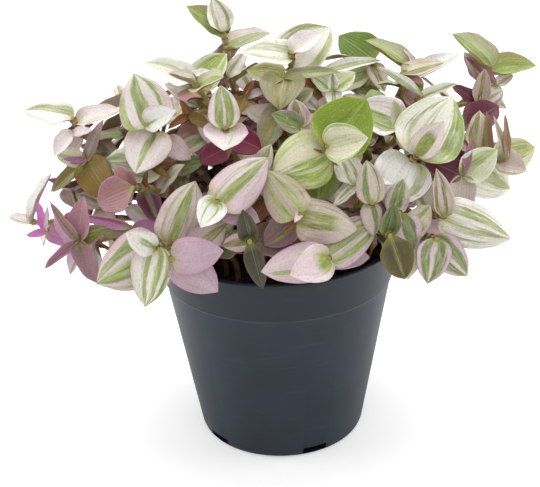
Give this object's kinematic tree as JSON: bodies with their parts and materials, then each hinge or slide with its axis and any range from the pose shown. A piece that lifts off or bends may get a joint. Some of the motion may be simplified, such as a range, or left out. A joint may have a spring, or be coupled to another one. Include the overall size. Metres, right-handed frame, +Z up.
{
  "type": "potted turtle vine",
  "caption": "Trailing foliage plant with small striped pink and green ovate leaves on fleshy stems, mounded over a round tapered plastic nursery pot.",
  "frame": {"origin": "middle of the pot's flat underside, on the pot's axis", "axes": "+Z up along the pot's axis; -Y towards the side that the picture shows; +X to the viewer's right"},
  "size_m": [0.1965, 0.1576, 0.1574],
  "materials": {
    "pot": "satin moulded plastic, dark slate grey",
    "soil": "loose dark potting compost, matte",
    "leaf_pale": "fleshy leaf, cream and pale pink with green stripes, satin",
    "leaf_lilac": "fleshy leaf, lilac pink with faint green stripes, satin",
    "leaf_green": "fleshy leaf, fresh green with a pale edge, satin",
    "leaf_purple": "fleshy leaf, purple and olive, satin"
  },
  "bodies": {
    "root": {"pot": "pot", "soil": "soil", "vine_striped_left": "leaf_pale", "vine_green_rosette": "leaf_green", "vine_pale_rosette": "leaf_pale", "vine_upright_green": "leaf_pale", "vine_striped_middle": "leaf_pale", "vine_striped_low": "leaf_pale", "vine_domed_pair": "leaf_pale", "vine_front_low": "leaf_pale", "vine_white_right": "leaf_pale", "vine_right_edge": "leaf_green", "vine_top_left": "leaf_pale", "vine_top_middle": "leaf_pale", "vine_upper_left": "leaf_lilac", "vine_back_green": "leaf_green", "vine_upper_right": "leaf_pale", "vine_far_right": "leaf_lilac", "vine_left_high": "leaf_purple", "vine_striped_right": "leaf_pale", "vine_lilac_low": "leaf_lilac", "vine_left_tip": "leaf_purple", "vine_lilac_left": "leaf_lilac", "vine_pink_pair": "leaf_lilac", "vine_pale_vee": "leaf_pale", "vine_dark_right": "leaf_purple", "vine_pink_under": "leaf_lilac", "vine_olive_drop": "leaf_green", "vine_grey_green": "leaf_green", "vine_dark_middle": "leaf_purple", "vine_striped_inner": "leaf_pale", "vine_dark_inner": "leaf_purple", "vine_pale_inner": "leaf_pale", "vine_magenta_inner": "leaf_purple", "vine_grey_crown": "leaf_lilac", "vine_back_low_1": "leaf_pale", "vine_back_low_2": "leaf_lilac", "vine_back_low_3": "leaf_green", "vine_back_low_4": "leaf_pale", "vine_back_low_5": "leaf_purple", "vine_back_low_6": "leaf_pale", "vine_back_low_7": "leaf_lilac", "vine_back_high_1": "leaf_green", "vine_back_high_2": "leaf_pale", "vine_back_high_3": "leaf_purple", "vine_back_high_4": "leaf_pale", "vine_back_high_5": "leaf_lilac", "vine_crown_1": "leaf_green", "vine_crown_2": "leaf_pale", "vine_crown_3": "leaf_purple"}
  },
  "joints": []
}
